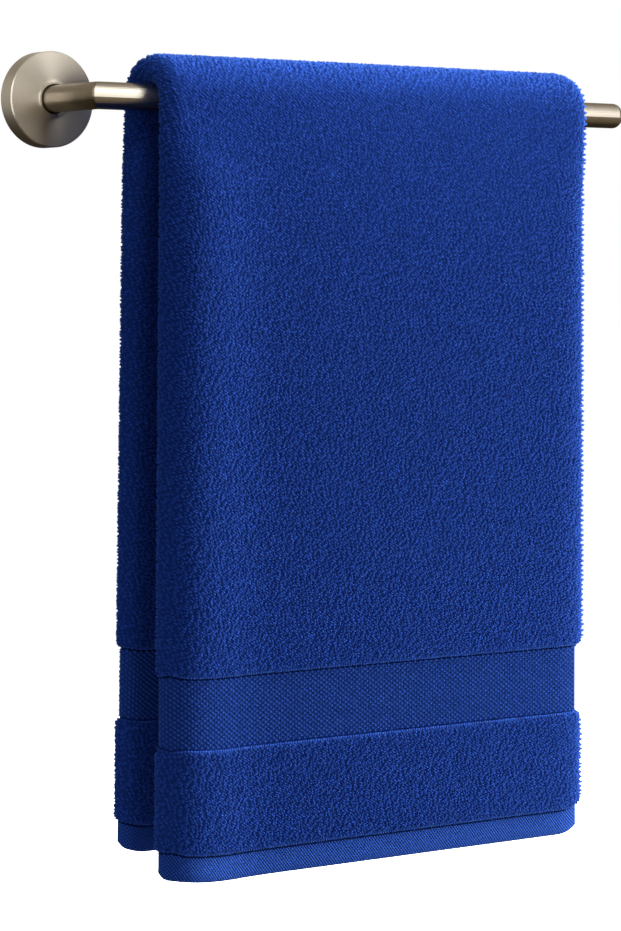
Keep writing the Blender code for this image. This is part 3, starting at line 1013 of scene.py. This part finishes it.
class TOWEL_OT_pattern_borders(bpy.types.Operator):
    """Raise the woven bumps of the two flat borders"""

    bl_idname = "towel.pattern_borders"
    bl_label = "Pattern Borders"

    def execute(self, context):
        require("woven_towel")
        settings = context.scene.towel_settings
        cloth = cloth_now()
        rng = np.random.default_rng(settings.seed + 1)
        tuft = tuft_mesh("float", 0.3, 0.22)
        pitch = settings.bump_pitch
        size = (pitch[0] * FLOAT_SHARE[0], pitch[1] * FLOAT_SHARE[1], FLOAT_HEIGHT)
        values = {"Tuft": tuft, "Size": size, "Lean Spread": 0.12, "Size Spread": 0.1}
        values.update({"Seed": settings.seed + 5, "Finish": float_cotton(settings)})
        tree = tuft_tree()
        across, along = staggered(pitch, 0.0, (0.04, 0.04), rng)
        borders = {
            "border_bumps_front": Zone(HEM_LENGTH * 2, CLOTH_LENGTH / 2),
            "border_bumps_back": Zone(CLOTH_LENGTH / 2, CLOTH_LENGTH - HEM_LENGTH * 2),
        }

        def root(x, y):
            return half_thickness(x, y) - 0.0001

        for name, zone in borders.items():
            kept = (along > zone.start) & (along < zone.end) & (inside_terry(across, along) < -FLOAT_CLEAR)
            kept &= shown(across, 1.0)
            x, y = across[kept], along[kept]
            grow_tufts(name, cloth, tree, (x, y, np.ones(len(x))), root, values, FLOAT_SLOPE)
        bpy.data.objects.remove(tuft, do_unlink=True)
        return {"FINISHED"}


class TOWEL_OT_plate_metal(bpy.types.Operator):
    """Give the bar and the post their brushed satin nickel"""

    bl_idname = "towel.plate_metal"
    bl_label = "Plate Metal"

    def execute(self, context):
        settings = context.scene.bar_settings
        rod = settings.rod_roughness
        finishes = {
            "bar": satin_nickel("satin nickel bar", settings.nickel, rod, (1500.0, 40.0, 40.0), "X"),
            "post": satin_nickel("satin nickel post", settings.nickel, rod, (40.0, 1500.0, 40.0), "Y"),
        }
        for node, finish in finishes.items():
            require(node)
            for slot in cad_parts[node].material_slots:
                slot.material = finish
        return {"FINISHED"}


class TOWEL_OT_turn_flange(bpy.types.Operator):
    """Turn the flange with its crowned face, fine edge and lip"""

    bl_idname = "towel.turn_flange"
    bl_label = "Turn Flange"

    def execute(self, context):
        require("wall_flange")
        settings = context.scene.bar_settings
        mesh = turned_mesh("turned_flange", flange_profile(), FLANGE_SIDES)
        grain, dull = (900.0, 900.0, 900.0), settings.face_roughness
        finish = satin_nickel("turned satin nickel flange", settings.nickel, dull, grain, "Y")
        mesh.materials.append(finish)
        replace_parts(add_piece("turned_flange", mesh), "wall_flange")
        return {"FINISHED"}


class TOWEL_OT_set_studio(bpy.types.Operator):
    """Set up the floor, the soft lights and the camera"""

    bl_idname = "towel.set_studio"
    bl_label = "Set Studio"

    def execute(self, context):
        require("bar")
        settings = context.scene.studio_settings
        scene = context.scene
        scene.view_settings.view_transform = "Standard"
        add_camera(scene, settings)
        add_floor()
        add_lights(settings)
        add_world(scene)
        return {"FINISHED"}


def add_camera(scene, settings):
    """The camera, a little above the towel's middle and to its left."""
    data = bpy.data.cameras.new("studio camera")
    data.lens = settings.lens
    data.sensor_width = 36.0
    data.clip_start = 0.01
    camera = add_object("studio camera", data)
    camera.location = CAMERA_PLACE
    camera.rotation_euler = (math.pi / 2 - settings.tilt, 0.0, -settings.yaw)
    scene.camera = camera


def add_floor():
    """A wide pale floor well below the towel."""
    mesh = bpy.data.meshes.new("pale_floor")
    size, level = 30.0, -0.75
    corners = [(-size, -size, level), (size, -size, level), (size, size, level), (-size, size, level)]
    mesh.from_pydata(corners, [], [(0, 1, 2, 3)])
    floor = add_object("pale_floor", mesh)
    values = {"Roughness": 1.0, "Emission Strength": 0.9}
    material, tree, shader = new_material("matt white studio floor", values)
    place = add_node(tree, "ShaderNodeTexCoord")
    cloudy = add_node(tree, "ShaderNodeTexNoise", {"Scale": 3.0}, {"Vector": place.outputs["Object"]})
    tones = {6: toned(linear("#F4F3F1")), 7: toned(linear("#FAFAF9"))}
    mixed = add_node(tree, "ShaderNodeMix", tones, {0: cloudy.outputs["Fac"]}, data_type="RGBA")
    lead_in(tree, shader, mixed.outputs[2])
    tree.links.new(mixed.outputs[2], shader.inputs["Emission Color"])
    mesh.materials.append(material)
    floor.visible_diffuse = False
    floor.visible_glossy = False


def from_angles(right, up):
    """Direction at an angle right of straight in front of the towel, and an angle up."""
    right, up = math.radians(right), math.radians(up)
    return Vector((math.sin(right) * math.cos(up), -math.cos(right) * math.cos(up), math.sin(up)))


def add_soft_box(box, power):
    """A soft box that faces a point from a direction, unseen by the camera."""
    data = bpy.data.lights.new(box.name, "AREA")
    data.shape = "RECTANGLE"
    data.size, data.size_y = box.size
    data.energy = power
    light = add_object(box.name, data)
    direction = from_angles(box.right, box.up).normalized()
    light.location = Vector(box.towards) + direction * box.distance
    light.rotation_euler = direction.to_track_quat("Z", "Y").to_euler()
    light.visible_camera = False
    light.visible_glossy = box.in_metal
    light.visible_diffuse = not box.in_metal


def add_lights(settings):
    """A key that grazes the towel, a side light, weak fills, a strip over the bar and two for the metal."""
    for box in SOFT_BOXES:
        add_soft_box(box, getattr(settings, box.name + "_power"))


def add_world(scene):
    """White behind everything, dim light from all round, and a warm dark room in the metal."""
    world = bpy.data.worlds.new("white studio")
    world.use_nodes = True
    scene.world = world
    tree = world.node_tree
    tree.nodes.clear()
    ray = add_node(tree, "ShaderNodeLightPath")
    place = add_node(tree, "ShaderNodeTexCoord")
    parts = add_node(tree, "ShaderNodeSeparateXYZ", links={0: place.outputs["Generated"]})
    both = {0: parts.outputs["Y"], 2: parts.outputs["Z"]}
    ahead = add_node(tree, "ShaderNodeMath", {1: -0.6}, both, operation="MULTIPLY_ADD")
    reach = {"From Min": -1.0, "From Max": 1.2}
    share = add_node(tree, "ShaderNodeMapRange", reach, {"Value": ahead.outputs[0]})
    room = add_node(tree, "ShaderNodeValToRGB", links={"Fac": share.outputs[0]})
    ramp = room.color_ramp
    for position, colour in ROOM_TONES:
        stop = ramp.elements.new(position)
        stop.color = toned(linear(colour))
    ramp.elements.remove(ramp.elements[0])
    ramp.elements.remove(ramp.elements[-1])
    dim = add_node(tree, "ShaderNodeBackground", {"Color": toned(linear("#DDE8FF")), "Strength": 0.27})
    mirrored = add_node(tree, "ShaderNodeBackground", {"Strength": 1.05}, {"Color": room.outputs[0]})
    white = add_node(tree, "ShaderNodeBackground", {"Color": (1.0, 1.0, 1.0, 1.0), "Strength": 1.0})
    choice = {0: ray.outputs["Is Glossy Ray"], 1: dim.outputs[0], 2: mirrored.outputs[0]}
    around = add_node(tree, "ShaderNodeMixShader", links=choice)
    choice = {0: ray.outputs["Is Camera Ray"], 1: around.outputs[0], 2: white.outputs[0]}
    seen = add_node(tree, "ShaderNodeMixShader", links=choice)
    add_node(tree, "ShaderNodeOutputWorld", links={"Surface": seen.outputs[0]})


class TOWEL_PT_panel(bpy.types.Panel):
    """Lists the towel's settings and its steps"""

    bl_idname = "TOWEL_PT_panel"
    bl_label = "Hand Towel"
    bl_space_type = "VIEW_3D"
    bl_region_type = "UI"
    bl_category = "Towel"

    def draw(self, context):
        layout = self.layout
        for group in SETTINGS:
            settings = getattr(context.scene, group)
            for name in settings.__annotations__:
                layout.prop(settings, name)
        for step in STEPS:
            layout.operator(step.bl_idname)


SETTINGS = {"towel_settings": TowelSettings, "bar_settings": BarSettings, "studio_settings": StudioSettings}
STEPS = (
    TOWEL_OT_weave,
    TOWEL_OT_raise_loops,
    TOWEL_OT_pattern_borders,
    TOWEL_OT_plate_metal,
    TOWEL_OT_turn_flange,
    TOWEL_OT_set_studio,
)


def register():
    """Makes the settings, the operators and the panel known to Blender."""
    for name, group in SETTINGS.items():
        bpy.utils.register_class(group)
        setattr(bpy.types.Scene, name, PointerProperty(type=group))
    for step in (*STEPS, TOWEL_PT_panel):
        bpy.utils.register_class(step)


def unregister():
    """Takes them out again."""
    for step in reversed((*STEPS, TOWEL_PT_panel)):
        bpy.utils.unregister_class(step)
    for name, group in SETTINGS.items():
        delattr(bpy.types.Scene, name)
        bpy.utils.unregister_class(group)


def main():
    """Builds every piece and the studio."""
    register()
    bpy.ops.towel.weave()
    bpy.ops.towel.raise_loops()
    bpy.ops.towel.pattern_borders()
    bpy.ops.towel.plate_metal()
    bpy.ops.towel.turn_flange()
    bpy.ops.towel.set_studio()


if __name__ == "__main__":
    main()
